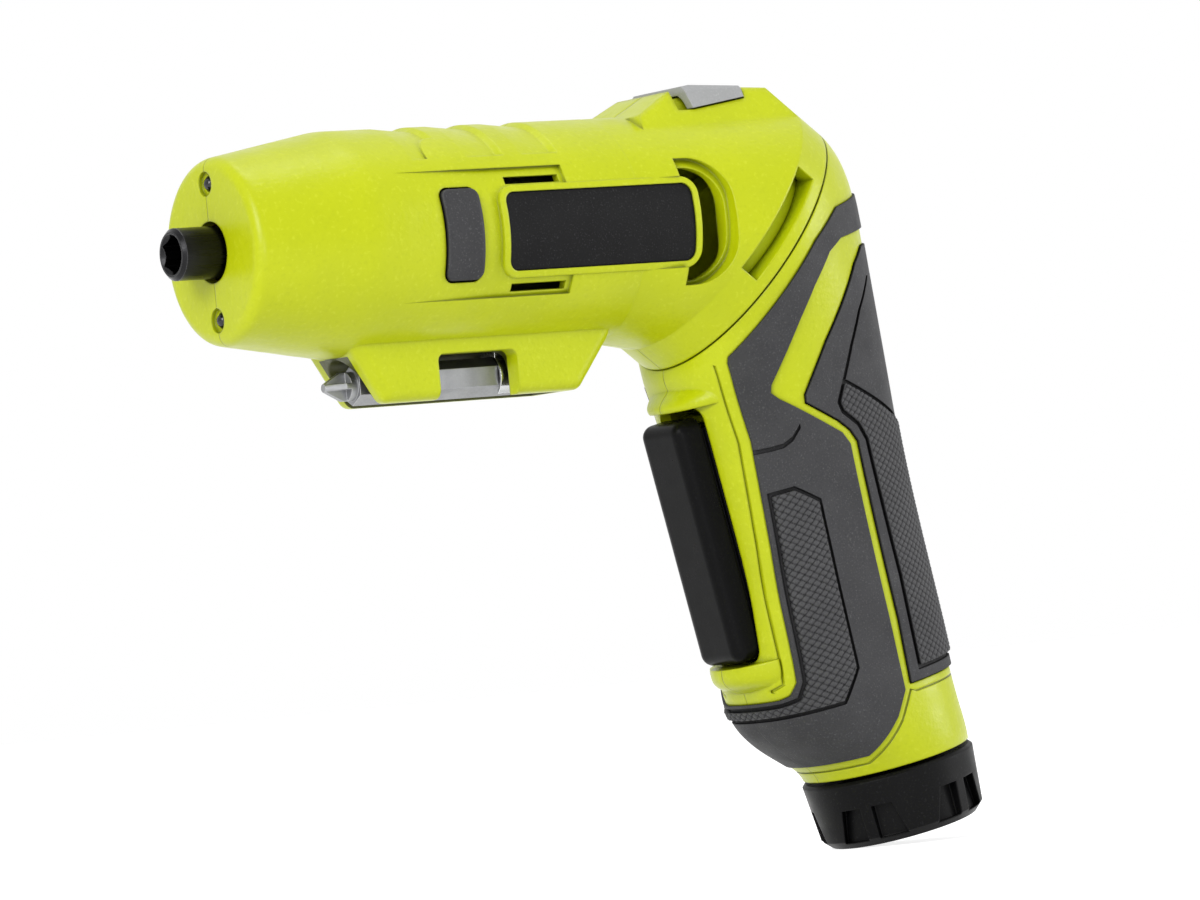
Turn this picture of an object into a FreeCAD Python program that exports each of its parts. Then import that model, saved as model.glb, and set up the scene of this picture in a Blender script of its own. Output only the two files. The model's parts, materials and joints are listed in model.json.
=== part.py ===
import FreeCAD, Part
import math
import os

Vec = FreeCAD.Vector
Y_AXIS = Vec(0, 1, 0)
X_AXIS = Vec(1, 0, 0)
FAR = 200.0

# Frame: the origin is the middle of the bit socket's mouth. +X runs back along the barrel, +Y is the
# user's right and +Z is up. All sizes are millimetres and degrees.

# General fits
wall = 2.4
fit_gap = 0.05
run_gap = 0.3

# Bit holder, socket and spindle
hex_flats = 6.35
hex_play = 0.1
bit_holder_d = 9.7
bit_holder_reach = 8.5
socket_depth = 13.0
holder_chamfer = 0.7
magnet_d = 5.6
magnet_length = 3.0
journal_d = 9.0
bush_wall = 2.5
bush_length = 8.0
spindle_step = 1.0

# Barrel
barrel_d = 42.4
nose_face_d = 30.8
nose_edge_d = 35.2
nose_edge_length = 2.5
nose_cone_length = 21.0
nose_corner_d = 34.3
nose_round = 2.4
shoulder_round = 16.0
nose_hole_d = 11.4
flare_x = 90.0
flare_step = 0.04
side_cavity_half = 17.2
side_cavity_x = 44.0

# Swivel between barrel and handle
handle_lean = 11.5
swivel_x = 123.1
swivel_drop = 4.9
swivel_long = 57.6
swivel_wide = 48.2
drum_height = 6.6
seam_gap = 0.4
collar_neck_d = 37.0
collar_flange_d = 40.8
collar_flange_thick = 3.8
collar_bore_d = 28.0
arc_slot_low = 2.3
arc_slot_high = 6.4
arc_slot_half_length = 12.0

# Hump with the lock slider
hump_front_x = 98.0
hump_crest_x = 106.5
hump_crest_drop = 0.9
hump_top_x = 112.0
hump_top_z = 25.9
hump_rear_x = 133.0
hump_rear_z = 24.7
hump_top_half = 8.6
hump_base_half = 13.0
hump_base_z = 15.5
hump_edge = 1.2
slider_front_x = 110.0
slider_front_z = 24.8
slider_lobe_x = 110.7
slider_lobe_z = 21.5
slider_rear_x = 123.0
slider_rear_z = 23.3
slider_skin = 1.3
slider_proud = 0.3
slider_gap = 0.4
slider_travel = 3.0
stem_x = 116.0
stem_half = 2.0
stem_length = 4.5
bolt_x = 112.2
bolt_half = 4.0
bolt_top_z = 17.2
bolt_thick = 2.6
serration_count = 5
serration_depth = 0.5

# Direction selector
button_x = 50.5
button_z = -0.7
button_width = 7.8
button_height = 16.9
button_corner = 1.6
button_proud = 0.35
button_flange = 1.0
flange_half = 6.5
button_gap = 0.35
selector_travel = 2.0
selector_plate = 3.0
bezel_width = 0.9
bezel_proud = 0.3

# Field round the name plate, vents and finger scallops
field_x0 = 38.0
field_sunk_x = 58.0
field_x1 = 109.8
field_top_z = 11.4
field_low_z = -12.6
field_depth = 0.7
field_corner = 8.0
bridge_x0 = 74.6
bridge_x1 = 99.6
plate_x0 = 60.1
plate_x1 = 101.6
plate_top_z = 6.6
plate_low_z = -8.0
plate_corner = 2.0
plate_thick = 0.6
frame_width = 1.3
frame_proud = 1.0
vent_x0 = 61.6
vent_length = 12.0
vent_height = 1.4
vent_top_z = 8.9
vent_low_z = -10.9
vent_reach = 15.0
curved_vent_x0 = 99.8
curved_vent_x1 = 109.0
curved_vent_top_z = 9.6
curved_vent_low_z = -11.7
curved_vent_corner = 7.4
screen_x0 = 97.0
screen_low_x1 = 104.4
screen_x1 = 108.5
screen_turn_z = -12.5
screen_rise_z = -8.0
screen_top_z = 12.0
screen_half = 1.2
scallop_x = 43.2
scallop_run = 7.2
scallop_rise = 1.2
scallop_pitch = 12.0
scallop_count = 3
scallop_depth = 0.8
scallop_low_z = 13.9

# Bit store under the barrel
store_front_x = 31.0
store_toe_x = 37.8
store_heel_x = 80.8
store_rear_x = 88.0
store_half = 8.9
store_bottom_z = -30.2
store_round = 2.2
channel_r = 5.1
channel_end_x = 78.2
window_x0 = 49.6
window_length = 17.4
window_top_z = -21.8
window_round = 1.4
bit_axis_z = -26.3
bit_x0 = 29.6
bit_length = 48.0
bit_neck_d = 5.4
bit_neck_length = 6.0
bit_point_length = 3.6
bit_point_d = 1.6
clip_thick = 0.5
clip_width = 4.2
clip_x0 = 40.4
clip_pitch = 25.6
clip_mouth = 5.0

# Gear train: two like stages in one ring
gear_module = 0.6
pressure_angle = 25.0
sun_teeth = 9
planet_teeth = 18
planet_count = 3
tooth_addendum = 0.8
tooth_dedendum = 1.05
tooth_thinning = 0.06
gear_face = 5.0
ring_rim = 2.0
carrier_thick = 2.6
carrier_pin_d = 3.0
axial_gap = 0.3
gear_case_lip = 2.0
gear_case_wall = 2.0
back_plate_thick = 2.0

# Motor
motor_x = 56.5
motor_d = 27.6
motor_length = 34.0
motor_can_wall = 1.0
motor_cap_length = 4.5
motor_shaft_d = 2.3
motor_bush_d = 6.0
motor_bush_length = 3.0
magnet_thick = 2.6
magnet_half_angle = 62.0
armature_gap = 0.5
armature_length = 15.0
commutator_d = 7.0
commutator_length = 6.0
brush_width = 3.0

# Work lights
light_offset_z = 12.6
light_d = 2.8
light_recess_d = 4.6
light_recess_depth = 0.9
light_board_thick = 1.2

# Case screws
screw_head_d = 5.2
screw_head_thick = 2.0
screw_d = 3.0
screw_tip_d = 2.1
screw_seat_y = 9.0
screw_length = 16.0
boss_d = 7.2

# Handle: depths run down the handle from the swivel centre, fronts and backs run across it
brow_front = 22.4
brow_front_depth = 19.8
brow_back = 25.6
brow_back_depth = -11.5
brow_width = 47.0
shoulder_front = 22.3
shoulder_front_depth = 22.0
shoulder_back = 25.2
shoulder_back_depth = 3.5
shoulder_width = 43.6
throat_depth = 29.0
throat_front = 21.6
throat_back = 22.6
throat_width = 38.4
grip_depth = 47.0
grip_front = 21.4
grip_back = 20.8
grip_width = 35.8
palm_depth = 66.0
palm_front = 22.0
palm_back = 20.2
palm_width = 34.8
heel_depth = 82.0
heel_front = 23.4
heel_back = 19.8
heel_width = 34.8
toe_depth = 90.5
toe_front = 21.6
toe_back = 19.6
toe_width = 34.8
foot_depth = 97.5
foot_front = 16.2
foot_back = 20.2
foot_width = 34.4
handle_end = 103.5
handle_end_d = 33.0
battery_offset = 4.5
handle_floor = 3.0
grip_squareness = 2.7

# Grips and inlays
pad_proud = 0.5
pad_sink = 1.2
inlay_proud = 0.35
inlay_sink = 0.2
inlay_rim = 0.6
inlay_gap = 0.8
palm_gap = 0.25
bead_inset = 1.4
bead_width = 0.35
bead_depth = 0.3
groove_width = 0.9
groove_depth = 0.6
heel_band_top = 84.8
heel_band_low = 88.4
side_grip_low = 99.7
palm_grip_low = 88.8
palm_inlay_low = 86.7

# Trigger, its switch and spring
trigger_top = 28.3
trigger_bottom = 76.0
trigger_front = 27.1
trigger_rear = 16.0
trigger_width = 13.8
trigger_pad = 5.4
trigger_round = 2.4
trigger_groove = 0.9
trigger_side_gap = 0.35
trigger_top_gap = 1.8
trigger_low_gap = 0.7
trigger_flange = 1.4
opening_round = 2.6
lip_centre = 12.0
lip_half_wide = 13.6
pivot_depth = 71.5
pivot_front = 19.0
pivot_pin_d = 2.5
pivot_pin_length = 19.0
switch_top = 31.0
switch_height = 13.0
switch_front = 12.0
switch_rear = 5.5
switch_width = 10.0
rib_thick = 1.4
leaf_thick = 0.4

# Battery, cap and electrics in the handle
battery_d = 19.2
battery_top = 34.0
battery_play = 0.15
cap_gap = 0.7
cap_top_d = 34.0
cap_low_d = 32.2
cap_length = 13.2
cap_chamfer = 1.6
cap_lip = 0.6
cap_stub_d = 16.0
cap_stub_length = 6.0
cap_recess_count = 5
cap_recess_depth = 1.4
cap_recess_height = 6.2
cap_recess_top = 10.4
cap_recess_low = 13.4
cap_rib = 2.3
cap_turn = 213.4
contact_gap = 0.3
contact_length = 1.7
board_front = 15.4
board_thick = 1.0
board_half = 6.5
board_top = 44.0
board_length = 38.0

# Places worked out from the sizes above
barrel_r = barrel_d / 2
cavity_r = barrel_r - wall
nose_x = bit_holder_reach
cone_x = nose_x + nose_edge_length
swivel_tilt = 45.0 + handle_lean / 2
swivel_point = Vec(swivel_x, 0, -swivel_drop)
handle_place = FreeCAD.Placement(swivel_point, FreeCAD.Rotation(Y_AXIS, -handle_lean))
swivel_place = FreeCAD.Placement(swivel_point, FreeCAD.Rotation(Y_AXIS, -swivel_tilt))
swivel_in_handle = FreeCAD.Placement(Vec(0, 0, 0), FreeCAD.Rotation(Y_AXIS, handle_lean - swivel_tilt))
spindle_end_r = journal_d / 2 - spindle_step
ring_teeth = sun_teeth + 2 * planet_teeth
planet_orbit = gear_module * (sun_teeth + planet_teeth) / 2
ring_r = gear_module * (ring_teeth / 2 + tooth_dedendum) + ring_rim
carrier_r = gear_module * (ring_teeth / 2 - tooth_addendum) - run_gap
sun_tip_r = gear_module * (sun_teeth / 2 + tooth_addendum)
bush_x = nose_x + wall + 1.1
bush_end_x = bush_x + bush_length
gear_case_r = journal_d / 2 + bush_wall + fit_gap + gear_case_wall
case_lip_x = bush_end_x + gear_case_lip
output_carrier_x = case_lip_x + axial_gap
output_planet_x = output_carrier_x + carrier_thick + axial_gap
first_carrier_x = output_planet_x + gear_face + axial_gap
first_planet_x = first_carrier_x + carrier_thick + axial_gap
back_plate_x = first_planet_x + gear_face + axial_gap
back_plate_end_x = back_plate_x + back_plate_thick
motor_end_x = motor_x + motor_length
light_board_x = nose_x + wall + 3.4
collar_low = wall + run_gap / 2
collar_high = collar_low + collar_flange_thick
field_r = barrel_r - field_depth
cap_top = handle_end + cap_gap
hood_z = -trigger_top + trigger_top_gap
spring_foot_x = -trigger_rear + 3
spring_depth = pivot_depth - 6.0
barrel_screws = [(button_x, 14.5), (button_x, -14.5), (97.6, -17.8), (101.6, 17.4)]
handle_screws = [(-15.0, 20.0), (13.0, 12.0), (-16.2, 87.5)]


def block(x0, x1, y0, y1, z0, z1):
    return Part.makeBox(x1 - x0, y1 - y0, z1 - z0, Vec(x0, y0, z0))


def rod(x0, x1, radius, y=0.0, z=0.0):
    return Part.makeCylinder(radius, x1 - x0, Vec(x0, y, z), X_AXIS)


def tube(x0, x1, outer, inner):
    return rod(x0, x1, outer).cut(rod(x0 - 1, x1 + 1, inner))


def cross_rod(x, z, radius, y0, y1):
    return Part.makeCylinder(radius, y1 - y0, Vec(x, y0, z), Y_AXIS)


def post(radius, z0, z1, x=0.0, y=0.0):
    return Part.makeCylinder(radius, z1 - z0, Vec(x, y, z0))


def face_of(points):
    return Part.Face(Part.makePolygon(points + points[:1]))


def side_prism(outline, y0, y1):
    """A side view outline of (x, z) points, run from y0 to y1."""
    return face_of([Vec(x, y0, z) for x, z in outline]).extrude(Vec(0, y1 - y0, 0))


def end_prism(outline, x0, x1):
    """An end view outline of (y, z) points, run from x0 to x1."""
    return face_of([Vec(x0, y, z) for y, z in outline]).extrude(Vec(x1 - x0, 0, 0))


def turned(profile):
    """A closed (x, radius) outline turned about the barrel's axis."""
    return face_of([Vec(x, 0, r) for x, r in profile]).revolve(Vec(0, 0, 0), X_AXIS, 360)


def rounded_plate(x0, x1, z0, z1, corner, y0, y1):
    plate = block(x0, x1, y0, y1, z0, z1)
    edges = [e for e in plate.Edges if abs(e.tangentAt(e.FirstParameter).y) > 0.9]
    return plate.makeFillet(corner, edges)


def fused(shapes):
    return shapes[0].multiFuse(shapes[1:]).removeSplitter()


def cut_each(shape, tools):
    for tool in tools:
        shape = shape.cut(tool)
    return shape


def placed(shape, place):
    moved = shape.copy()
    moved.Placement = place.multiply(shape.Placement)
    return moved


def left_of(shape):
    return shape.common(block(-FAR, FAR, -FAR, 0, -FAR, FAR))


def right_of(shape):
    return shape.common(block(-FAR, FAR, 0, FAR, -FAR, FAR))


def mirrored(shape):
    return shape.mirror(Vec(0, 0, 0), Y_AXIS)


def oval(place, half_long, half_wide, squareness):
    """A closed smooth loop, an ellipse at squareness 2 and fuller at the corners above that."""
    steps = 28
    points = []
    for step in range(steps):
        angle = 2 * math.pi * step / steps
        across, along = math.sin(angle), math.cos(angle)
        x = math.copysign(half_long * abs(along) ** (2 / squareness), along)
        y = math.copysign(half_wide * abs(across) ** (2 / squareness), across)
        points.append(place.multVec(Vec(x, y, 0)))
    curve = Part.BSplineCurve()
    curve.interpolate(Points=points, PeriodicFlag=True)
    return Part.Wire(curve.toShape())


# Barrel casing


def swivel_drum(height):
    """The oval drum that stands on the swivel seam, as high as asked along the swivel's axis."""
    face = Part.Face(oval(FreeCAD.Placement(), swivel_long / 2, swivel_wide / 2, 2))
    return placed(face.extrude(Vec(0, 0, height)), swivel_place)


def barrel_flare():
    """From the round barrel to the drum."""
    start = FreeCAD.Placement(Vec(flare_x, 0, 0), FreeCAD.Rotation(Y_AXIS, -90))
    circle = oval(start, barrel_r - flare_step, barrel_r - flare_step, 2)
    rim_place = swivel_place.multiply(FreeCAD.Placement(Vec(0, 0, drum_height), FreeCAD.Rotation()))
    rim = oval(rim_place, swivel_long / 2, swivel_wide / 2, 2)
    return Part.makeLoft([circle, rim], True, True).fuse(swivel_drum(drum_height))


def round_at(solid, x, radius):
    """The turned solid with its edge at x rounded."""
    edges = [e for e in solid.Edges if abs(e.BoundBox.XMin - x) < 0.01 and e.BoundBox.XLength < 0.01]
    return solid.makeFillet(radius, edges)


def barrel_round():
    cone_end = cone_x + nose_cone_length
    body = turned([(nose_x, 0), (nose_x, nose_corner_d / 2), (cone_end, barrel_r), (flare_x, barrel_r),
                   (flare_x, 0)])
    return round_at(round_at(body, nose_x, nose_round), cone_end, shoulder_round)


def hump(inset):
    """The raised deck over the swivel that carries the lock slider, drawn in by inset."""
    rear_end = hump_rear_x + hump_base_half
    top = hump_top_z - inset
    rear = hump_rear_z - inset
    side = side_prism([(hump_front_x, hump_base_z), (hump_front_x, barrel_r - 0.8 - inset),
                       (hump_crest_x, top - hump_crest_drop), (hump_top_x, top), (hump_rear_x, rear),
                       (rear_end, rear), (rear_end, hump_base_z)], -FAR, FAR)
    base_half = hump_base_half - inset
    top_half = hump_top_half - inset
    right = [(top_half - hump_edge, top), (top_half + hump_edge / 3, top - hump_edge),
             (base_half, hump_base_z)]
    left = [(-y, z) for y, z in reversed(right)]
    end = end_prism(left + right, hump_front_x, rear_end)
    return side.common(end).common(swivel_drum(FAR))


def bit_store_block():
    outline = [(store_front_x, -barrel_r + wall), (store_toe_x, store_bottom_z),
               (store_heel_x, store_bottom_z), (store_rear_x, -barrel_r), (store_rear_x, -barrel_r + wall)]
    body = side_prism(outline, -store_half, store_half)
    edges = [e for e in body.Edges if e.BoundBox.ZMin < store_bottom_z + 0.1]
    return body.makeFillet(store_round, edges)


def barrel_outer():
    return fused([barrel_round(), barrel_flare(), hump(0), bit_store_block()])


def barrel_cavity():
    nose = turned([(nose_x + wall, 0), (nose_x + wall, nose_face_d / 2 - wall),
                   (cone_x + 1.4, nose_edge_d / 2 - wall), (cone_x + nose_cone_length, cavity_r),
                   (side_cavity_x, cavity_r), (side_cavity_x, 0)])
    main = rod(side_cavity_x, hump_rear_x, cavity_r)
    main = main.common(block(0, FAR, -side_cavity_half, side_cavity_half, -FAR, FAR))
    inside = placed(block(-FAR, FAR, -FAR, FAR, wall, FAR), swivel_place)
    collar_room = placed(post(collar_flange_d / 2 + run_gap, wall, collar_high + run_gap), swivel_place)
    bore = placed(post(collar_neck_d / 2 + run_gap / 2, -1, wall + 1), swivel_place)
    return fused([nose, main.common(inside), collar_room, bore])


def one_side(side):
    """From well inside the barrel's side to outside it, as low and high y."""
    return sorted((side * field_r / 2, side * FAR))


def plate_prism(side, grow):
    y0, y1 = one_side(side)
    return rounded_plate(plate_x0 - grow, plate_x1 + grow, plate_low_z - grow, plate_top_z + grow,
                         plate_corner + grow, y0, y1)


def label_field(side):
    """The shallow field round the name plate, which sinks in from the front."""
    y0, y1 = one_side(side)
    before = 2 * field_x0 - field_sunk_x
    outline = rounded_plate(before, field_x1, field_low_z, field_top_z, field_corner, y0, y1)
    core = turned([(0, 0), (0, barrel_r + field_depth), (before, barrel_r + field_depth),
                   (field_sunk_x, field_r), (FAR, field_r), (FAR, 0)])
    above = block(bridge_x0, bridge_x1, -FAR, FAR, plate_top_z + frame_width, FAR)
    below = block(bridge_x0, bridge_x1, -FAR, FAR, -FAR, plate_low_z - frame_width)
    return cut_each(outline, [core, above, below])


def plate_frame(side):
    band = tube(0, FAR, field_r + frame_proud, field_r - wall / 4)
    return plate_prism(side, frame_width).common(band).cut(plate_prism(side, fit_gap))


def name_plate(side):
    band = tube(0, FAR, field_r + fit_gap + plate_thick, field_r + fit_gap)
    return plate_prism(side, 0).common(band)


def button_prism(grow, y0, y1):
    return rounded_plate(button_x - button_width / 2 - grow, button_x + button_width / 2 + grow,
                         button_z - button_height / 2 - grow, button_z + button_height / 2 + grow,
                         button_corner + grow, y0, y1)


def button_bezel():
    ring = button_prism(bezel_width + button_gap, -FAR, FAR)
    band = rod(0, flare_x, barrel_r + bezel_proud).cut(rod(-1, flare_x + 1, barrel_r - wall / 2))
    return ring.common(band)


def vents():
    """Two slits and a curved slot behind the plate on each side, open to the inside."""
    cuts = []
    for z in (vent_top_z, vent_low_z):
        cuts.append(block(vent_x0, vent_x0 + vent_length, -FAR, FAR, z - vent_height / 2,
                          z + vent_height / 2))
    curved = rounded_plate(plate_x0, curved_vent_x1, curved_vent_low_z, curved_vent_top_z, curved_vent_corner,
                           -FAR, FAR)
    cuts.append(cut_each(curved, [plate_prism(-1, frame_width), plate_prism(1, frame_width),
                                  block(0, curved_vent_x0, -FAR, FAR, -FAR, FAR)]))
    keep = block(0, FAR, -vent_reach, vent_reach, -FAR, FAR)
    return [cut.cut(keep) for cut in cuts]


def vent_screen():
    """A wall in the middle that closes the view from one curved slot to the other."""
    outline = [(screen_x0, -FAR), (screen_low_x1, -FAR), (screen_low_x1, screen_turn_z),
               (screen_x1, screen_rise_z), (screen_x1, screen_top_z), (screen_x0, screen_top_z)]
    return side_prism(outline, -screen_half, screen_half)


def scallops():
    """Finger hollows round the top that deepen to the rear and end in a step."""
    cuts = []
    for number in range(scallop_count):
        x0 = scallop_x + number * scallop_pitch
        low = x0 + scallop_run
        ring = turned([(x0, barrel_r), (low, barrel_r - scallop_depth), (low + scallop_rise, barrel_r),
                       (low + scallop_rise, barrel_r + 1), (x0, barrel_r + 1)])
        cuts.append(ring.common(block(0, FAR, -FAR, FAR, scallop_low_z, FAR)))
    return cuts


def bit_store_cuts():
    """The round roofed channel, open below, and the window in its left wall."""
    front = store_front_x - 10
    channel = rod(front, channel_end_x, channel_r, 0, bit_axis_z)
    below = block(front, channel_end_x, -channel_r, channel_r, -FAR, bit_axis_z)
    window = block(window_x0, window_x0 + window_length, -FAR, 0, -FAR, window_top_z)
    window = window.makeFillet(window_round, [e for e in window.Edges if e.BoundBox.ZMin > window_top_z - 0.1
                                              and e.BoundBox.XLength < 0.1])
    return fused([channel, below, window])


def arc_slot():
    """The slot along the seam that shows the collar's rim."""
    slot = block(-arc_slot_half_length, arc_slot_half_length, -FAR, FAR, arc_slot_low, arc_slot_high)
    keep = post(collar_flange_d / 2 + run_gap, arc_slot_low - 1, arc_slot_high + 1)
    return placed(slot.cut(keep), swivel_place)


def slider_outline():
    return [(slider_lobe_x, slider_lobe_z), (slider_rear_x, slider_rear_z), (slider_rear_x, FAR),
            (slider_front_x, FAR), (slider_front_x, slider_front_z)]


def slider_cuts():
    """Room over the hump for the slider's travel, and a slot for its stem."""
    ahead = slider_travel + run_gap
    low = slider_lobe_z - run_gap
    front = slider_front_x - ahead
    rear = slider_rear_x + run_gap
    outline = [(slider_lobe_x - ahead, low), (slider_lobe_x + run_gap, low), (rear, slider_rear_z - run_gap),
               (rear, FAR), (front, FAR), (front, slider_front_z - run_gap)]
    slot = block(stem_x - ahead, stem_x + stem_length + run_gap, -stem_half - run_gap, stem_half + run_gap,
                 bolt_top_z, FAR)
    return [side_prism(outline, -FAR, FAR).cut(hump(slider_skin + slider_gap)), slot]


def light_cuts():
    cuts = []
    for z in (light_offset_z, -light_offset_z):
        cuts.append(rod(nose_x - 1, light_board_x, light_d / 2 + fit_gap, 0, z))
        cuts.append(rod(nose_x - 1, nose_x + light_recess_depth, light_recess_d / 2, 0, z))
    return cuts


def barrel_ribs():
    ribs = []
    for x in (case_lip_x + 1, back_plate_x - 3):
        ribs.append(tube(x, x + rib_thick, barrel_r - wall / 2, ring_r + fit_gap))
    for x in (motor_x + 2, motor_end_x - 4):
        ribs.append(tube(x, x + rib_thick, barrel_r - wall / 2, motor_d / 2 + fit_gap))
    return ribs


def screw_holes(spots):
    """Clearance and head room on the right, a pilot hole on the left, for (x, z) spots."""
    holes = []
    for x, z in spots:
        holes.append(cross_rod(x, z, screw_head_d / 2 + 0.2, screw_seat_y, FAR))
        holes.append(cross_rod(x, z, screw_d / 2 + fit_gap, -fit_gap, screw_seat_y + 1))
        holes.append(cross_rod(x, z, screw_tip_d / 2 + fit_gap, screw_seat_y - screw_length - 1, 1))
    return holes


def screws(spots):
    solids = []
    for x, z in spots:
        head = cross_rod(x, z, screw_head_d / 2, screw_seat_y, screw_seat_y + screw_head_thick)
        slot = block(x - 0.4, x + 0.4, screw_seat_y + screw_head_thick - 0.8, FAR, z - 1.6, z + 1.6)
        cross = block(x - 1.6, x + 1.6, screw_seat_y + screw_head_thick - 0.8, FAR, z - 0.4, z + 0.4)
        shank = cross_rod(x, z, screw_d / 2, 0, screw_seat_y)
        tip = cross_rod(x, z, screw_tip_d / 2, screw_seat_y - screw_length, 0)
        solids.append(fused([head.cut(slot.fuse(cross)), shank, tip]))
    return Part.makeCompound(solids)


def bosses(spots):
    return [cross_rod(x, z, boss_d / 2, -FAR, FAR) for x, z in spots]


def barrel_shell():
    outer = fused([barrel_outer(), button_bezel()])
    hollow = [barrel_cavity(), rod(-1, nose_x + wall + 1, nose_hole_d / 2),
              button_prism(button_gap, -FAR, FAR).cut(block(0, FAR, -10, 10, -FAR, FAR)),
              bit_store_cuts(), arc_slot()]
    shell = outer.cut(hollow + light_cuts())
    shell = cut_each(shell, scallops() + slider_cuts())
    inside = [shape.common(outer) for shape in barrel_ribs() + [vent_screen()] + bosses(barrel_screws)]
    inside = [cut_each(shape, [bit_store_cuts()] + slider_cuts()) for shape in inside]
    shell = cut_each(fused([shell] + inside), [label_field(-1), label_field(1)] + vents())
    return fused([shell, plate_frame(-1), plate_frame(1)]).cut(screw_holes(barrel_screws))


# Bit store fittings


def hex_rod(x0, x1, flats, z):
    radius = flats / math.sqrt(3)
    points = []
    for corner in range(6):
        angle = math.radians(60 * corner + 90)
        points.append(Vec(x0, radius * math.cos(angle), z + radius * math.sin(angle)))
    return face_of(points).extrude(Vec(x1 - x0, 0, 0))


def bit_end(x, direction):
    """Neck and fluted cross point, pointing along direction from x."""
    neck_end = x + direction * (bit_neck_length - bit_point_length)
    tip = x + direction * bit_neck_length
    cone = turned([(x, 0), (x, bit_neck_d / 2), (neck_end, bit_neck_d / 2), (tip, bit_point_d / 2), (tip, 0)])
    flutes = []
    start, stop = sorted((neck_end - direction, tip + direction))
    for turn in range(4):
        flute = block(start, stop, 0.55, FAR, 0.55, FAR)
        flutes.append(placed(flute, FreeCAD.Placement(Vec(0, 0, 0), FreeCAD.Rotation(X_AXIS, 90 * turn))))
    return placed(cone.cut(flutes), FreeCAD.Placement(Vec(0, 0, bit_axis_z), FreeCAD.Rotation()))


def spare_bit():
    front = bit_x0 + bit_neck_length
    rear = bit_x0 + bit_length - bit_neck_length
    return fused([hex_rod(front, rear, hex_flats, bit_axis_z), bit_end(front, -1), bit_end(rear, 1)])


def bit_clips():
    """Sprung rings, open below, each with a foot under the store's roof."""
    inner = hex_flats / math.sqrt(3) + fit_gap
    clips = []
    for number in range(2):
        x0 = clip_x0 + number * clip_pitch
        x1 = x0 + clip_width
        ring = rod(x0, x1, inner + clip_thick, 0, bit_axis_z)
        foot = block(x0, x1, -clip_mouth / 2, clip_mouth / 2, bit_axis_z, FAR)
        foot = foot.common(rod(x0, x1, channel_r - fit_gap, 0, bit_axis_z))
        ring = fused([ring, foot]).cut(rod(x0 - 1, x1 + 1, inner, 0, bit_axis_z))
        mouth = block(x0 - 1, x1 + 1, -clip_mouth / 2, clip_mouth / 2, -FAR, bit_axis_z)
        clips.append(ring.cut(mouth))
    return Part.makeCompound(clips)


# Gears


def involute_angle(base, radius):
    roll = math.sqrt(max(radius * radius / (base * base) - 1, 0))
    return roll - math.atan(roll)


def gear_outline(teeth, addendum, dedendum, thinning):
    """Tooth corners as (radius, angle) pairs round the gear, with a tooth middle at angle 0."""
    pitch = gear_module * teeth / 2
    base = pitch * math.cos(math.radians(pressure_angle))
    root = pitch - dedendum * gear_module
    tip = pitch + addendum * gear_module
    half = math.pi / (2 * teeth) - thinning / pitch + involute_angle(base, pitch)
    start = max(base, root)
    flank = [(root, half - involute_angle(base, start))]
    for share in (0, 0.35, 0.7, 1):
        radius = start + share * (tip - start)
        flank.append((radius, half - involute_angle(base, radius)))
    if start == root:
        flank = flank[1:]
    corners = []
    for tooth in range(teeth):
        middle = 2 * math.pi * tooth / teeth
        corners += [(radius, middle - angle) for radius, angle in flank]
        corners += [(radius, middle + angle) for radius, angle in reversed(flank)]
    return corners


def toothed(teeth, addendum, dedendum, thinning, x0, length):
    """A toothed prism along X, with the first tooth pointing up."""
    points = []
    for radius, angle in gear_outline(teeth, addendum, dedendum, thinning):
        points.append(Vec(x0, radius * math.sin(angle), radius * math.cos(angle)))
    return face_of(points).extrude(Vec(length, 0, 0))


def sun_gear(x0, x1, bore):
    return toothed(sun_teeth, tooth_addendum, tooth_dedendum, tooth_thinning, x0, x1 - x0).cut(
        rod(x0 - 1, x1 + 1, bore))


def planet_gear(x0, number):
    """Turned half a tooth, so that a gap meets the sun's and the ring's upright teeth."""
    gear = toothed(planet_teeth, tooth_addendum, tooth_dedendum, tooth_thinning, x0, gear_face)
    gear = placed(gear, FreeCAD.Placement(Vec(0, 0, 0), FreeCAD.Rotation(X_AXIS, 180 / planet_teeth)))
    gear = gear.cut(rod(x0 - 1, x0 + gear_face + 1, carrier_pin_d / 2 + fit_gap))
    up = FreeCAD.Placement(Vec(0, 0, planet_orbit), FreeCAD.Rotation())
    return placed(placed(gear, up), orbit_turn(number))


def orbit_turn(number):
    return FreeCAD.Placement(Vec(0, 0, 0), FreeCAD.Rotation(X_AXIS, 360 * number / planet_count))


def carrier(x0, bore):
    """Disc with a stub pin for each planet."""
    solids = [tube(x0, x0 + carrier_thick, carrier_r, bore)]
    for number in range(planet_count):
        pin = rod(x0, x0 + carrier_thick + axial_gap + gear_face, carrier_pin_d / 2, 0, planet_orbit)
        solids.append(placed(pin, orbit_turn(number)))
    return fused(solids)


def ring_gear():
    length = back_plate_x - case_lip_x
    gap = toothed(ring_teeth, tooth_dedendum, tooth_addendum, -tooth_thinning, case_lip_x - 1, length + 2)
    turn = FreeCAD.Rotation(X_AXIS, 180 / ring_teeth)
    return rod(case_lip_x, back_plate_x, ring_r).cut(placed(gap, FreeCAD.Placement(Vec(0, 0, 0), turn)))


def gear_case():
    seat = journal_d / 2 + bush_wall + fit_gap
    opening = journal_d / 2 + 1.5
    return turned([(bush_x, seat), (bush_x, gear_case_r), (bush_end_x, gear_case_r), (bush_end_x, ring_r),
                   (case_lip_x, ring_r), (case_lip_x, opening), (bush_end_x, opening), (bush_end_x, seat)])


def gearbox_back_plate():
    return tube(back_plate_x, back_plate_end_x, ring_r, sun_tip_r + run_gap)


# Spindle


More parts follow.
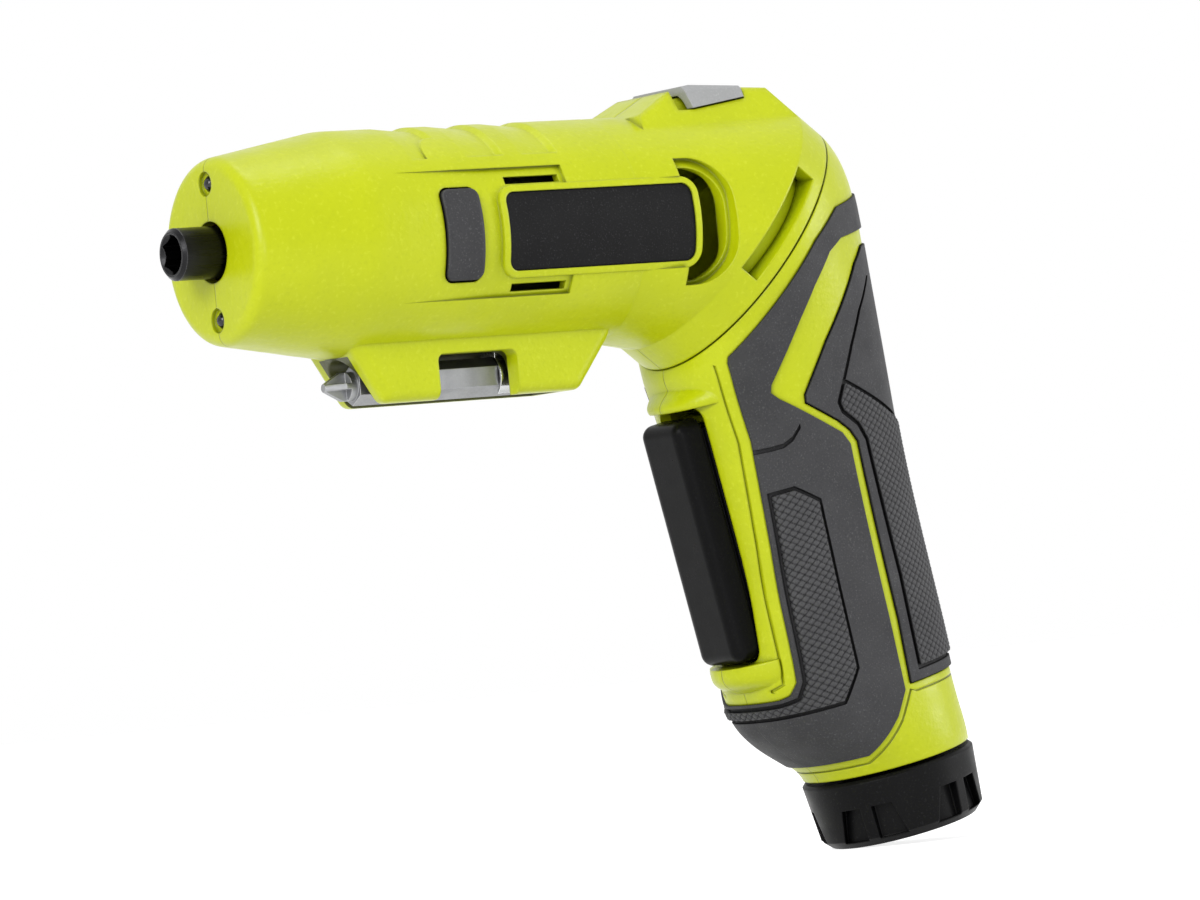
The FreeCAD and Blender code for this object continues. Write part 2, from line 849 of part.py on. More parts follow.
def bit_holder():
    r = bit_holder_d / 2
    journal = journal_d / 2
    neck_end = bush_x - run_gap
    carrier_end = output_carrier_x + carrier_thick
    outer = turned([(0, 0), (0, r - holder_chamfer), (holder_chamfer, r), (neck_end, r), (neck_end, journal),
                    (output_carrier_x, journal), (output_carrier_x, spindle_end_r),
                    (carrier_end, spindle_end_r), (carrier_end, 0)])
    socket = hex_rod(-1, socket_depth, hex_flats + hex_play, 0)
    magnet = rod(socket_depth - 1, socket_depth + magnet_length, magnet_d / 2 + fit_gap)
    mouth = turned([(-0.1, 0), (-0.1, hex_flats / 2 + 0.75), (0.8, hex_flats / 2), (0.8, 0)])
    return outer.cut([socket, magnet, mouth, retaining_groove()])


def retaining_groove():
    return tube(bush_end_x + 0.4, bush_end_x + 1.3, journal_d, journal_d / 2 - 0.5)


def retaining_ring():
    ring = tube(bush_end_x + 0.4, bush_end_x + 1.2, journal_d / 2 + 1.2, journal_d / 2 - 0.45)
    return ring.cut(block(0, FAR, -1.2, 1.2, 0, FAR))


def socket_magnet():
    return rod(socket_depth, socket_depth + magnet_length, magnet_d / 2)


def spindle_bush():
    return tube(bush_x, bush_end_x, journal_d / 2 + bush_wall, journal_d / 2 + fit_gap)


# Motor


def motor_can():
    r = motor_d / 2
    bush = motor_bush_d / 2 + fit_gap
    return turned([(motor_x - 2, bush), (motor_x - 2, bush + 1.4), (motor_x, bush + 1.4), (motor_x, r - 1),
                   (motor_x + 1, r), (motor_end_x, r), (motor_end_x, r - motor_can_wall),
                   (motor_x + motor_can_wall, r - motor_can_wall), (motor_x + motor_can_wall, bush)])


def motor_end_cap():
    r = motor_d / 2 - run_gap
    bush = motor_bush_d / 2 + fit_gap
    hollow = motor_bush_d / 2 + 4
    end = motor_end_x + motor_cap_length
    inner_end = end - motor_bush_length
    return turned([(motor_end_x, hollow), (motor_end_x, r), (end - 1, r), (end, r - 1), (end, bush),
                   (inner_end, bush), (inner_end, hollow)])


def motor_bushes():
    hole = motor_shaft_d / 2 + fit_gap
    end = motor_end_x + motor_cap_length
    front = tube(motor_x - 2, motor_x - 2 + motor_bush_length, motor_bush_d / 2, hole)
    rear = tube(end - motor_bush_length, end, motor_bush_d / 2, hole)
    return Part.makeCompound([front, rear])


def armature_x():
    return motor_x + motor_can_wall + 6


def motor_magnets():
    """Two curved magnets inside the can, left and right."""
    outer = motor_d / 2 - motor_can_wall - fit_gap
    ring = tube(armature_x() - 2, armature_x() + armature_length + 2, outer, outer - magnet_thick)
    reach = FAR * math.tan(math.radians(magnet_half_angle))
    wedge = end_prism([(0, 0), (FAR, reach), (FAR, -reach)], 0, FAR)
    return Part.makeCompound([ring.common(wedge), ring.common(mirrored(wedge))])


def armature_r():
    return motor_d / 2 - motor_can_wall - fit_gap - magnet_thick - armature_gap


def pole_turn(number):
    return FreeCAD.Placement(Vec(0, 0, 0), FreeCAD.Rotation(X_AXIS, 120 * number))


def armature_core():
    """Three T-shaped poles on a hub."""
    x0 = armature_x()
    x1 = x0 + armature_length
    r = armature_r()
    solids = [rod(x0, x1, 3.0)]
    for number in range(3):
        stem = block(x0, x1, -1.3, 1.3, 0, r - 1)
        wedge = end_prism([(0, 0), (-FAR, 1.2 * FAR), (FAR, 1.2 * FAR)], x0, x1)
        shoe = tube(x0, x1, r, r - 1.8).common(wedge)
        solids.append(placed(fused([stem, shoe]), pole_turn(number)))
    return fused(solids).cut(rod(x0 - 1, x1 + 1, motor_shaft_d / 2))


def armature_windings():
    """A copper coil round each pole's stem."""
    x0 = armature_x() - 1.6
    x1 = armature_x() + armature_length + 1.6
    coils = []
    for number in range(3):
        coil = block(x0, x1, -2.7, 2.7, 4.7, armature_r() - 2.7)
        coil = coil.cut(block(armature_x(), armature_x() + armature_length, -1.35, 1.35, 0, FAR))
        coils.append(placed(coil, pole_turn(number)))
    return Part.makeCompound(coils)


def commutator_x():
    return armature_x() + armature_length + 2.2


def commutator():
    x0 = commutator_x()
    ring = tube(x0, x0 + commutator_length, commutator_d / 2, motor_shaft_d / 2)
    slits = []
    for number in range(3):
        slit = block(x0 + 1, x0 + commutator_length + 1, -0.25, 0.25, commutator_d / 2 - 0.6, FAR)
        slits.append(placed(slit, pole_turn(number)))
    return ring.cut(slits)


def motor_brushes():
    """Carbon blocks on arms that stand on the end cap."""
    solids = []
    x0 = commutator_x() + 1.4
    for side in (-1, 1):
        y0, y1 = sorted((side * (commutator_d / 2 + run_gap / 2), side * (commutator_d / 2 + 3)))
        carbon = block(x0, x0 + brush_width, y0, y1, -1.5, 1.5)
        a0, a1 = sorted((side * (commutator_d / 2 + 3), side * (commutator_d / 2 + 4)))
        arm = block(x0, motor_end_x, a0, a1, -1.5, 1.5)
        solids.append(fused([carbon, arm]))
    return Part.makeCompound(solids)


def rotor_shaft():
    return rod(first_planet_x, motor_end_x + motor_cap_length + 0.8, motor_shaft_d / 2)


# Work lights


def work_lights():
    solids = []
    for z in (light_offset_z, -light_offset_z):
        r = light_d / 2
        stem = rod(nose_x + r, light_board_x, r, 0, z)
        dome = Part.makeSphere(r, Vec(nose_x + r, 0, z))
        solids.append(fused([stem, dome]))
    return Part.makeCompound(solids)


def light_board():
    hole = gear_case_r + fit_gap
    return tube(light_board_x, light_board_x + light_board_thick, light_offset_z + light_d / 2, hole)


# Direction selector


def selector_shuttle():
    """A plate across the barrel between gearbox and motor, slotted for the shaft."""
    half = side_cavity_half - selector_travel - button_flange - run_gap
    plate = block(button_x - selector_plate / 2, button_x + selector_plate / 2, -half, half,
                  button_z - 6.5, button_z + 6.5)
    reach = selector_travel + motor_shaft_d / 2 + run_gap
    slot = block(button_x - selector_plate, button_x + selector_plate, -reach, reach, -2, 2)
    return plate.cut(slot)


def direction_button(side):
    """Soft cap through the casing with a flange inside it."""
    start = side_cavity_half - selector_travel - button_flange - run_gap
    y0, y1 = sorted((side * start, side * FAR))
    cap = button_prism(0, y0, y1).common(rod(0, FAR, barrel_r + button_proud))
    y0, y1 = sorted((side * start, side * (start + button_flange)))
    flange = block(button_x - button_width / 2 - button_flange, button_x + button_width / 2 + button_flange,
                   y0, y1, button_z - flange_half, button_z + flange_half)
    return fused([cap, flange])


# Swivel lock


def lock_slider():
    """A saddle over the hump with a ridged top, and a stem down to the bolt."""
    cap = side_prism(slider_outline(), -FAR, FAR).common(hump(-slider_proud)).cut(hump(slider_skin))
    top = hump_top_z + slider_proud
    run = slider_rear_x - bolt_x - 1.4
    pitch = run / serration_count
    half = hump_top_half - hump_edge
    grooves = []
    for number in range(serration_count):
        x = bolt_x + number * pitch
        grooves.append(side_prism([(x, FAR), (x, top - serration_depth - 0.3), (x + pitch * 0.6, top),
                                   (x + pitch * 0.6, FAR)], -half, half))
    stem = block(stem_x, stem_x + stem_length, -stem_half, stem_half, bolt_top_z, hump_rear_z)
    return fused([cut_each(cap, grooves), stem])


def lock_bolt():
    """Bar under the deck with a lug that faces the collar's notch."""
    bar = block(bolt_x, swivel_x + 4.6, -bolt_half, bolt_half, bolt_top_z - bolt_thick, bolt_top_z)
    rim = collar_flange_d / 2
    lug_half = bolt_half - 0.5
    lug_low = collar_high + run_gap
    lug = placed(block(rim - 4, rim - 1, -lug_half, lug_half, lug_low, lug_low + 3), swivel_place)
    beyond = placed(block(-FAR, FAR, -FAR, FAR, -FAR, lug_low), swivel_place)
    return fused([bar.cut(beyond), lug])


def lock_spring():
    """A folded flat spring in front of the bolt."""
    x0 = barrel_screws[3][0] + boss_d / 2 + 0.2
    x1 = bolt_x - 0.1
    folds = 4
    pitch = (x1 - x0) / folds
    z0, z1, t = bolt_top_z - bolt_thick, bolt_top_z - 0.3, 0.35
    upper = []
    lower = []
    for number in range(folds + 1):
        z = z0 if number % 2 else z1
        upper.append((x0 + number * pitch, z))
        lower.append((x0 + number * pitch, z - t))
    return side_prism(upper + lower[::-1], -stem_half, stem_half)


# Swivel collar


def swivel_collar():
    """A hollow spool that joins barrel and handle, notched for the lock at both ends of the swing."""
    low = -seam_gap - wall
    neck = post(collar_neck_d / 2, low, collar_low)
    upper = post(collar_flange_d / 2, collar_low, collar_high)
    lower = post(collar_flange_d / 2, low - collar_flange_thick, low)
    bore = post(collar_bore_d / 2, low - FAR, FAR)
    rim = collar_flange_d / 2
    notches = []
    for x0, x1 in ((rim - 4.4, FAR), (-FAR, 4.4 - rim)):
        notches.append(block(x0, x1, -bolt_half, bolt_half, collar_high - 1.5, FAR))
    return placed(fused([neck, upper, lower]).cut([bore] + notches), swivel_in_handle)


# Handle casing, in the handle's own frame: x to the back of the hand, y to the right, z up the handle


def handle_loft(inset):
    """The handle's smooth body, drawn in by inset all round."""
    seam_place = swivel_in_handle.multiply(FreeCAD.Placement(Vec(0, 0, -seam_gap), FreeCAD.Rotation()))
    wires = [oval(seam_place, swivel_long / 2 - inset, swivel_wide / 2 - inset, 2)]
    rows = [(brow_front, brow_front_depth, brow_back, brow_back_depth, brow_width, 2),
            (shoulder_front, shoulder_front_depth, shoulder_back, shoulder_back_depth, shoulder_width, 2.2),
            (throat_front, throat_depth, throat_back, throat_depth, throat_width, 2.5),
            (grip_front, grip_depth, grip_back, grip_depth, grip_width, grip_squareness),
            (palm_front, palm_depth, palm_back, palm_depth, palm_width, grip_squareness),
            (heel_front, heel_depth, heel_back, heel_depth, heel_width, grip_squareness),
            (toe_front, toe_depth, toe_back, toe_depth, toe_width, 2.6),
            (foot_front, foot_depth, foot_back, foot_depth, foot_width, 2.3),
            (handle_end_d / 2 - battery_offset, handle_end, handle_end_d / 2 + battery_offset, handle_end,
             handle_end_d, 2)]
    for front, front_depth, back, back_depth, width, squareness in rows:
        run = front + back
        rise = front_depth - back_depth
        middle = Vec((back - front) / 2, 0, -(front_depth + back_depth) / 2)
        place = FreeCAD.Placement(middle, FreeCAD.Rotation(Y_AXIS, -math.degrees(math.atan2(rise, run))))
        wires.append(oval(place, math.hypot(run, rise) / 2 - inset, width / 2 - inset, squareness))
    return Part.makeLoft(wires, True, False)


def handle_cavity(inset):
    below_seam = placed(block(-FAR, FAR, -FAR, FAR, -FAR, -seam_gap - wall), swivel_in_handle)
    above_floor = block(-FAR, FAR, -FAR, FAR, handle_floor - handle_end, FAR)
    return handle_loft(inset).common(below_seam).common(above_floor)


def trigger_opening():
    half = trigger_width / 2 + trigger_side_gap
    low = -trigger_bottom - trigger_low_gap
    hole = block(-FAR, spring_foot_x, -half, half, low, hood_z)
    return hole.makeFillet(opening_round, [e for e in hole.Edges if e.BoundBox.XLength > FAR / 2])


def front_lip(rows):
    """A smooth lip on the handle's front through ovals, given as (depth, front)."""
    wires = []
    for depth, front in rows:
        place = FreeCAD.Placement(Vec(-lip_centre, 0, -depth), FreeCAD.Rotation())
        wires.append(oval(place, front - lip_centre, lip_half_wide, 2))
    return Part.makeLoft(wires, True, False)


def trigger_lips():
    """The lip over the trigger's top end and the sill under its low end."""
    low = trigger_bottom + trigger_low_gap
    hood = front_lip([(-hood_z - 4.4, 21.8), (-hood_z - 2.9, 23.4), (-hood_z - 1.3, 25.0),
                      (-hood_z, 24.9)])
    sill = front_lip([(low, 27.0), (low + 1.6, 27.3), (low + 3.2, 26.8), (low + 4.8, 24.8),
                      (low + 6.4, 22.6)])
    return [hood, sill]


def down_handle(outline):
    """A (front to back, depth) outline as (x, z) points."""
    return [(x, -depth) for x, depth in outline]


def bezel_line(rim):
    """The side grip's edge along the trigger's green surround, set back by rim."""
    return [(-17.2 + rim, 19.7), (-16.4 + rim, 35.2), (-17.5 + rim, 56.3), (-19.1 + rim, 76.5)]


def heel_line(rim):
    """From the side grip's edge round under the trigger to the front of the heel."""
    return [(-19.5 + rim, heel_band_top - 2.9), (-20.7 + rim, heel_band_top - 0.7 + rim),
            (-22.1, heel_band_top - 0.2 + rim), (-FAR, heel_band_top + rim)]


def front_pad_outline():
    """Side and heel grip: a band along the seam, the side panel and the heel."""
    seam_band = [(30, -4.2), (18.9, -3.5), (11.4, -3.0), (3.5, 1.7), (-16.9, 18.5)]
    foot = [(-FAR, side_grip_low), (-8.5, side_grip_low), (-2.3, 93.8)]
    stripe = [(0.8, 89.4), (1.6, 74.8), (2.7, 41.1), (1.4, 38.6), (-10.3, 28.9), (-11.7, 27.3), (-11.3, 25.8),
              (-3.5, 15.5), (1.2, 9.9), (6.5, 4.6), (10.6, 2.8), (30, 2.5)]
    return down_handle(seam_band + bezel_line(0) + heel_line(0) + foot + stripe)


def back_pad_outline():
    """Palm grip round the back of the handle."""
    return down_handle([(FAR, 5.0), (17.8, 5.7), (13.7, 8.3), (2.0, 20.7), (-5.0, 29.4), (-5.2, 31.1),
                        (1.2, 36.3), (3.4, 38.7), (4.6, 41.2), (3.6, 76.3), (2.5, palm_grip_low),
                        (FAR, palm_grip_low)])


def side_inlay_outline():
    front = bezel_line(inlay_rim)[2:] + heel_line(inlay_rim)
    return down_handle([(-16.9 + inlay_rim, 45.6)] + front + [(-FAR, heel_band_low), (-12.4, heel_band_low),
                        (-8.0, 82.5), (-7.0, 59.5), (-6.7, 49.4), (-11.4, 45.6)])


def back_inlay_outline():
    return down_handle([(4.2, 28.6), (1.7, 32.8), (2.2, 35.0), (5.2, 38.2), (6.4, 41.4), (6.4, 68.5),
                        (5.2, palm_inlay_low), (30, palm_inlay_low), (30, 48.0)])


def groove_cut(line, across, depth):
    """A narrow groove, that deep in the casing, along a line of (front to back, depth) points."""
    shift_x, shift_depth = across
    far_side = [(x + shift_x, low + shift_depth) for x, low in reversed(line)]
    return side_prism(down_handle(line + far_side), -FAR, FAR).cut(handle_loft(depth))


def side_groove():
    """The step across the side grip below the seam band."""
    line = [(-24.0, 36.4), (-14.0, 37.2), (-11.5, 37.2), (-9.5, 36.4), (-7.4, 34.4)]
    return groove_cut(line, (0, groove_width), groove_depth - pad_proud)


def palm_groove():
    """The edge of the palm grip's raised panel above its inlay."""
    line = [(17.3, 11.6), (11.6, 17.3), (7.5, 23.1), (4.0, 29.0)]
    return groove_cut(line, (groove_width, 0), groove_depth - pad_proud)


def surround_bead():
    """A fine groove along the green surround beside the trigger and under it."""
    line = bezel_line(-bead_inset) + heel_line(-bead_inset)[:3]
    return groove_cut(line, (-bead_width, -bead_width), bead_depth)


def foot_bead():
    """A fine groove on the green foot, below the grips."""
    low = side_grip_low + bead_inset
    line = [(-FAR, low), (-8.0, low), (-1.4, 94.6), (2.2, 89.6), (3.4, palm_grip_low + bead_inset),
            (FAR, palm_grip_low + bead_inset)]
    return groove_cut(line, (bead_width, bead_width), bead_depth)


def pad(outline, proud, sink, shrink):
    """A slab on the handle's surface, inside its side view outline by shrink."""
    face = face_of([Vec(x, -FAR, z) for x, z in outline])
    if shrink:
        face = face.makeOffset2D(-shrink)
    return face.extrude(Vec(0, 2 * FAR, 0)).common(handle_loft(-proud)).cut(handle_loft(sink))


def inlay(outline):
    return pad(outline, pad_proud + inlay_proud, inlay_sink - fit_gap, inlay_gap)


def grip_pad(outline, inlay_outline, groove, shrink):
    whole = pad(outline, pad_proud, pad_sink, shrink)
    seat = side_prism(inlay_outline, -FAR, FAR).cut(handle_loft(inlay_sink))
    return cut_each(whole, [seat, groove, trigger_opening()] + screw_holes(handle_spots()))


def handle_spots():
    return [(x, -depth) for x, depth in handle_screws]


def battery_hole(extra):
    return post(battery_d / 2 + extra, -handle_end - 1, -battery_top + 1.0, battery_offset)


def handle_ribs():
    """Walls across the handle that carry the switch, the contacts, the battery and the board."""
    ribs = []
    for depth in (switch_top - rib_thick, switch_top + switch_height):
        ribs.append(block(-switch_front + 0.2, -switch_rear - 0.5, -FAR, FAR, -depth - rib_thick, -depth))
    contact_depth = battery_top - contact_gap - contact_length
    ribs.append(block(-switch_rear + 0.5, FAR, -FAR, FAR, -contact_depth, -contact_depth + rib_thick))
    ribs.append(block(spring_foot_x, -switch_rear - 1, -FAR, FAR, -spring_depth - rib_thick, -spring_depth))
    for depth in (grip_depth + 5, toe_depth - 6):
        ribs.append(block(-battery_d / 2, FAR, -FAR, FAR, -depth - rib_thick, -depth))
    board_slot = control_board_room(fit_gap)
    return [rib.cut([battery_hole(battery_play), board_slot]) for rib in ribs]


def handle_body():
    """The hollow casing, with the grips' beds sunk into it."""
    outer = fused([handle_loft(0)] + trigger_lips())
    bore = placed(post(collar_neck_d / 2 + fit_gap, -FAR, FAR), swivel_in_handle)
    bore = bore.common(placed(block(-FAR, FAR, -FAR, FAR, -wall - seam_gap - 1, FAR), swivel_in_handle))
    hollow = [handle_cavity(wall), bore, battery_hole(battery_play), trigger_opening()]
    for outline in (front_pad_outline(), back_pad_outline()):
        hollow.append(side_prism(outline, -FAR, FAR).cut(handle_loft(pad_sink)))
    hollow += [surround_bead(), foot_bead()]
    return cut_each(outer, hollow)


def handle_half(body, half):
    """One side of the casing with its ribs, bosses, pin seat and screw holes."""
    reach = pivot_pin_length / 2
    pin = cross_rod(-pivot_front, -pivot_depth, pivot_pin_d / 2 + fit_gap, -reach, reach)
    holes = [pin] + screw_holes(handle_spots())
    inner = handle_loft(wall - 0.3)
    shell = half(body)
    for shape in handle_ribs() + bosses(handle_spots()):
        shell = shell.fuse(cut_each(half(shape.common(inner)), holes))
    return cut_each(shell, holes)


# Trigger and what it works


def trigger():
    """A rounded finger pad, a groove behind it, and a stem with flanges that stay inside the handle."""
    z0, z1 = -trigger_bottom, -trigger_top
    half = trigger_width / 2
    front = -trigger_front
    pad_back = front + trigger_pad
    stem_front = pad_back + trigger_groove
    finger = block(front, pad_back, -half, half, z0, z1)
    finger = finger.makeFillet(trigger_round, [e for e in finger.Edges if e.BoundBox.XMin < pad_back - 0.1])
    neck_half = half - trigger_groove
    neck = block(pad_back - 1, stem_front + 1, -neck_half, neck_half, z0 + trigger_round, z1 - trigger_round)
    stem = block(stem_front, -trigger_rear, -half, half, z0 + trigger_round, z1 - trigger_round)
    flange = block(-trigger_rear - 1.2, -trigger_rear, -half - trigger_flange, half + trigger_flange,
                   z0 + 8, z1 - 6)
    hole = cross_rod(-pivot_front, -pivot_depth, pivot_pin_d / 2 + fit_gap, -FAR, FAR)
    return fused([finger, neck, stem, flange]).cut(hole)


def trigger_pin():
    half = pivot_pin_length / 2
    return cross_rod(-pivot_front, -pivot_depth, pivot_pin_d / 2, -half, half)


def trigger_spring():
    """A bent leaf from its rib to the trigger's back."""
    foot_top = -spring_depth
    foot_low = foot_top - rib_thick
    tip_low = foot_top + 12
    tip_top = tip_low + rib_thick
    front = spring_foot_x - leaf_thick
    tip_front = -trigger_rear + 0.1
    tip_back = tip_front + leaf_thick
    outline = [(spring_foot_x, foot_top), (spring_foot_x, foot_low), (front, foot_low), (front, foot_top),
               (tip_front, tip_low), (tip_front, tip_top), (tip_back, tip_top), (tip_back, tip_low)]
    return side_prism(outline, -3, 3)


def trigger_switch():
    z0 = -switch_top - switch_height
    body = block(-switch_front, -switch_rear, -switch_width / 2, switch_width / 2, z0, -switch_top)
    plunger = block(-switch_front - 0.5, -switch_front, -1.5, 1.5, -switch_top - 6, -switch_top - 3)
    return fused([body, plunger])


# Battery and electrics


def battery_pack():
    low = -cap_top - cap_stub_length
    cell = post(battery_d / 2, -cap_top, -battery_top, battery_offset)
    edges = [e for e in cell.Edges if abs(e.BoundBox.ZMin + battery_top) < 0.01 and e.BoundBox.ZLength < 0.01]
    cell = cell.makeFillet(1.2, edges)
    stub = post(cap_stub_d / 2, low, -cap_top, battery_offset)
    return fused([cell, stub])


def battery_cap():
    z1 = -cap_top - fit_gap
    z0 = -cap_top - cap_length
    rt, rl = cap_top_d / 2, cap_low_d / 2
    profile = [(0, z1), (rt - cap_lip, z1), (rt, z1 - cap_lip), (rl, z0 + cap_chamfer),
               (rl - cap_chamfer, z0), (0, z0)]
    body = face_of([Vec(r, 0, z) for r, z in profile]).revolve(Vec(0, 0, 0), Vec(0, 0, 1), 360)
    top = z0 + cap_chamfer + cap_recess_height
    low = z0 + cap_chamfer * 0.8
    left = [(-cap_recess_top / 2, top), (-cap_rib / 2, top), (-cap_rib / 2, low), (-cap_recess_low / 2, low)]
    right = [(-y, z) for y, z in left]
    floor = post(rl - cap_recess_depth, -FAR, FAR)
    notches = []
    for number in range(cap_recess_count):
        turn = FreeCAD.Rotation(Vec(0, 0, 1), cap_turn + 360 * number / cap_recess_count)
        for outline in (left, right):
            notch = end_prism(outline, 0, FAR).cut(floor)
            notches.append(placed(notch, FreeCAD.Placement(Vec(0, 0, 0), turn)))
    bore = post(cap_stub_d / 2 + fit_gap, -cap_top - cap_stub_length - run_gap, FAR)
    offset = FreeCAD.Placement(Vec(battery_offset, 0, 0), FreeCAD.Rotation())
    return placed(body.cut(notches + [bore]), offset)


def battery_contacts():
    z0 = -battery_top + contact_gap
    z1 = z0 + contact_length
    plus = block(battery_offset - 2, battery_offset + 2, -2, 2, z0, z1)
    minus = block(battery_offset + 4.6, battery_offset + 7.4, -2, 2, z0, z1)
    return Part.makeCompound([plus, minus])


def control_board_room(grow):
    return block(board_front - grow, board_front + board_thick + grow, -board_half - grow, board_half + grow,
                 -board_top - board_length - grow, -board_top + grow)


def control_board():
    chip = block(board_front - board_thick, board_front, -3, 3, -palm_depth - 4, -palm_depth + 4)
    return fused([control_board_room(0), chip])


def in_handle(shape):
    return placed(shape, handle_place)


def all_nodes():
    nodes = {}
    shell = barrel_shell()
    nodes["barrel_left_half"] = left_of(shell)
    nodes["barrel_right_half"] = right_of(shell)
    nodes["barrel_screws"] = screws(barrel_screws)
    nodes["name_plate_left"] = name_plate(-1)
    nodes["name_plate_right"] = name_plate(1)
    nodes["work_lights"] = work_lights()
    nodes["light_board"] = light_board()
    nodes["gear_case"] = gear_case()
    nodes["ring_gear"] = ring_gear()
    nodes["gearbox_back_plate"] = gearbox_back_plate()
    nodes["spindle_bush"] = spindle_bush()
    nodes["motor_can"] = motor_can()
    nodes["motor_end_cap"] = motor_end_cap()
    nodes["motor_magnets"] = motor_magnets()
    nodes["motor_bushes"] = motor_bushes()
    nodes["motor_brushes"] = motor_brushes()
    nodes["bit_clips"] = bit_clips()
    nodes["bit_holder"] = bit_holder()
    nodes["socket_magnet"] = socket_magnet()
    nodes["retaining_ring"] = retaining_ring()
    nodes["output_carrier"] = carrier(output_carrier_x, spindle_end_r + fit_gap)
    nodes["first_carrier"] = fused([carrier(first_carrier_x, motor_shaft_d / 2),
                                    sun_gear(output_planet_x, first_carrier_x, motor_shaft_d / 2)])
    for number in range(planet_count):
        nodes["first_planet_%d" % (number + 1)] = planet_gear(first_planet_x, number)
        nodes["second_planet_%d" % (number + 1)] = planet_gear(output_planet_x, number)
    nodes["rotor_shaft"] = rotor_shaft()
    nodes["motor_pinion"] = sun_gear(first_planet_x, back_plate_end_x, motor_shaft_d / 2)
    nodes["armature_core"] = armature_core()
    nodes["armature_windings"] = armature_windings()
    nodes["commutator"] = commutator()
    nodes["selector_shuttle"] = selector_shuttle()
    nodes["direction_button_left"] = direction_button(-1)
    nodes["direction_button_right"] = direction_button(1)
    nodes["lock_slider"] = lock_slider()
    nodes["lock_bolt"] = lock_bolt()
    nodes["lock_spring"] = lock_spring()
    nodes["spare_bit"] = spare_bit()
    casing = handle_body()
    front_grip = grip_pad(front_pad_outline(), side_inlay_outline(), side_groove(), 0)
    back_grip = grip_pad(back_pad_outline(), back_inlay_outline(), palm_groove(), palm_gap)
    side_weave = inlay(side_inlay_outline())
    back_weave = inlay(back_inlay_outline())
    for name, half in (("left", left_of), ("right", right_of)):
        nodes["handle_%s_half" % name] = in_handle(handle_half(casing, half))
        nodes["side_grip_%s" % name] = in_handle(half(front_grip))
        nodes["palm_grip_%s" % name] = in_handle(half(back_grip))
        nodes["side_inlay_%s" % name] = in_handle(half(side_weave))
        nodes["palm_inlay_%s" % name] = in_handle(half(back_weave))
    nodes["handle_screws"] = in_handle(screws(handle_spots()))
    nodes["swivel_collar"] = in_handle(swivel_collar())
    nodes["trigger_pin"] = in_handle(trigger_pin())
    nodes["trigger_switch"] = in_handle(trigger_switch())
    nodes["trigger_spring"] = in_handle(trigger_spring())
    nodes["battery_contacts"] = in_handle(battery_contacts())
    nodes["control_board"] = in_handle(control_board())
    nodes["trigger"] = in_handle(trigger())
    nodes["battery_pack"] = in_handle(battery_pack())
    nodes["battery_cap"] = in_handle(battery_cap())
    return nodes


def main():
    os.makedirs("parts", exist_ok=True)
    for name, shape in all_nodes().items():
        print(name, len(shape.Solids), round(shape.Volume, 1), shape.isValid())
        shape.exportStep("parts/%s.step" % name)


main()
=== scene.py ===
import json
import math
import bpy
import numpy
from mathutils import Matrix, Vector


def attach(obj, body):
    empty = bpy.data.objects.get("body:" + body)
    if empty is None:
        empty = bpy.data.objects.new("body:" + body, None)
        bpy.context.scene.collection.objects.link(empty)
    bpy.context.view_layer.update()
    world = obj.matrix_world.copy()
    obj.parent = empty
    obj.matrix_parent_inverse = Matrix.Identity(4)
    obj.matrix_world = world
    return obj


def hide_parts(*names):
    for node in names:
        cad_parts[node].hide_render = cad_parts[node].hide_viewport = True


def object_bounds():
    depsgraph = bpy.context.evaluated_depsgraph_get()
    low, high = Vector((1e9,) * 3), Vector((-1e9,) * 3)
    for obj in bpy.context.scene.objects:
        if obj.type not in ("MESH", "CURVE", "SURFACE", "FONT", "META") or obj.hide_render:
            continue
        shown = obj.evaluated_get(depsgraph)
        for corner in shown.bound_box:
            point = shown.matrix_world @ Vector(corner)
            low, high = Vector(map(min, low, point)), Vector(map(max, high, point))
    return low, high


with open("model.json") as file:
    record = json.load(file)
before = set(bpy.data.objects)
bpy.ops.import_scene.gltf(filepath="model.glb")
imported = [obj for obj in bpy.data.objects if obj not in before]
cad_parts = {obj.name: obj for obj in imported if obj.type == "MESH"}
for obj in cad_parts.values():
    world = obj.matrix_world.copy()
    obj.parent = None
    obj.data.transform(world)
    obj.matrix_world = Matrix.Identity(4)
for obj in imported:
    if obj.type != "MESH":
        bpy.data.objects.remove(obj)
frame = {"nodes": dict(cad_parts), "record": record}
cad_low, cad_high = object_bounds()
nodes = frame["nodes"]
MM = 0.001


# Material tools

# A mix node keeps its colour sockets after those for numbers and vectors.
MIX_FIRST = 6
MIX_SECOND = 7
MIX_RESULT = 2

# Soft patches have one tone below this level of the noise and the other above 1 minus it.
PATCH_EDGE = 0.35

# Samples of the nodes that look around a point.
EDGE_SAMPLES = 8
HOLLOW_SAMPLES = 6

# An edge share grows as the rounded normal turns away from the flat one, by their cosine.
FACE_COSINE = 0.99
ROUNDED_COSINE = 0.8

# Sizes in millimetres of the noise that varies a finish.
CLOUD_SIZE = 14.0
PALE_EDGE_SIZE = 5.0
SHEEN_SIZE = 4.0
STAIN_SIZE = 6.0
SCRATCH_SIZE = 0.35

# Painted shade in a hollow grows as less of what is around it is open.
OPEN_SHARE = 0.85
SHUT_SHARE = 0.35


def linear(red, green, blue):
    """A screen colour of 0 to 255 as the linear colour that the sockets take."""
    shares = [channel / 255 for channel in (red, green, blue)]
    values = [share / 12.92 if share <= 0.04045 else ((share + 0.055) / 1.055) ** 2.4
              for share in shares]
    return (*values, 1.0)


def tones(*colours):
    """Several screen colours as linear colours."""
    return [linear(*colour) for colour in colours]


